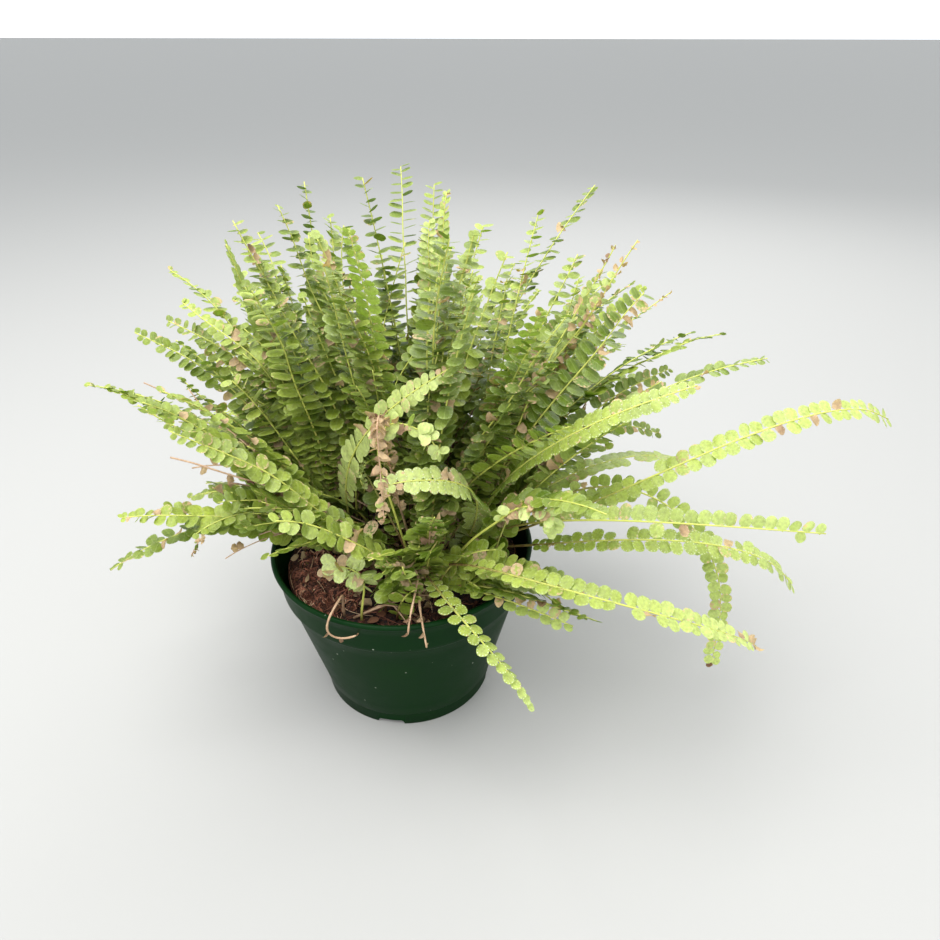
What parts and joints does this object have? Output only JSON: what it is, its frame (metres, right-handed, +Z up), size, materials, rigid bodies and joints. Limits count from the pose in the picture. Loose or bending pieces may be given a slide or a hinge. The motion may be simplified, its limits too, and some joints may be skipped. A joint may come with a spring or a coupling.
{
  "type": "potted fern",
  "caption": "Small sword fern with rows of round button leaflets on upright and trailing fronds, growing from potting mix in a round tapered green plastic nursery pot.",
  "frame": {"origin": "middle of the pot's base, on the surface that the pot stands on", "axes": "+Z up along the pot's axis; -Y is the plant's front, the side with the bare mix and the hanging dry frond; +X is the side of the long trailing fronds"},
  "size_m": [0.4376, 0.275, 0.2908],
  "materials": {
    "pot_plastic": "satin injection-moulded polypropylene, dark green",
    "potting_mix": "loose peat, coir fibre and bark crumbs, matte",
    "crown": "scaly brown rootstock, matte",
    "frond": "living leaf, mid green, slight sheen",
    "young_frond": "young living leaf, pale yellow-green, slight sheen",
    "dry_frond": "dead leaf and stalk, tan to brown, matte"
  },
  "bodies": {
    "root": {"arching_frond_01": "frond", "arching_frond_02": "frond", "arching_frond_03": "frond", "arching_frond_04": "frond", "arching_frond_05": "frond", "arching_frond_06": "frond", "arching_frond_07": "frond", "arching_frond_right": "young_frond", "arching_frond_right_high": "young_frond", "bare_stalk_front": "dry_frond", "bare_stalk_front_left": "dry_frond", "bare_stalk_front_right": "dry_frond", "crossing_frond_front": "young_frond", "crown_back": "crown", "crown_front_right": "crown", "crown_left": "crown", "crown_middle": "crown", "crown_right": "crown", "dry_frond_front": "dry_frond", "dry_frond_left": "dry_frond", "fiddlehead_left": "young_frond", "fiddlehead_middle": "young_frond", "hanging_frond_right": "frond", "leaning_frond_01": "frond", "leaning_frond_02": "frond", "leaning_frond_03": "frond", "leaning_frond_04": "frond", "leaning_frond_05": "frond", "leaning_frond_06": "frond", "leaning_frond_07": "frond", "leaning_frond_08": "frond", "leaning_frond_09": "frond", "leaning_frond_10": "frond", "leaning_frond_11": "frond", "leaning_frond_12": "frond", "leaning_frond_13": "frond", "pale_frond_front": "young_frond", "pot": "pot_plastic", "potting_mix": "potting_mix", "rising_frond_front": "young_frond", "rising_frond_right": "young_frond", "tall_frond_back_left": "frond", "tall_frond_back_middle": "frond", "tall_frond_back_right": "frond", "trailing_frond_front_right": "young_frond", "trailing_frond_front_short": "young_frond", "trailing_frond_right_long": "young_frond", "trailing_frond_right_low": "young_frond", "upright_frond_01": "frond", "upright_frond_02": "frond", "upright_frond_03": "frond", "upright_frond_04": "frond", "upright_frond_05": "frond", "upright_frond_06": "frond", "upright_frond_07": "frond", "upright_frond_08": "frond", "upright_frond_09": "frond", "upright_frond_10": "frond", "upright_frond_11": "frond", "upright_frond_12": "frond"}
  },
  "joints": []
}
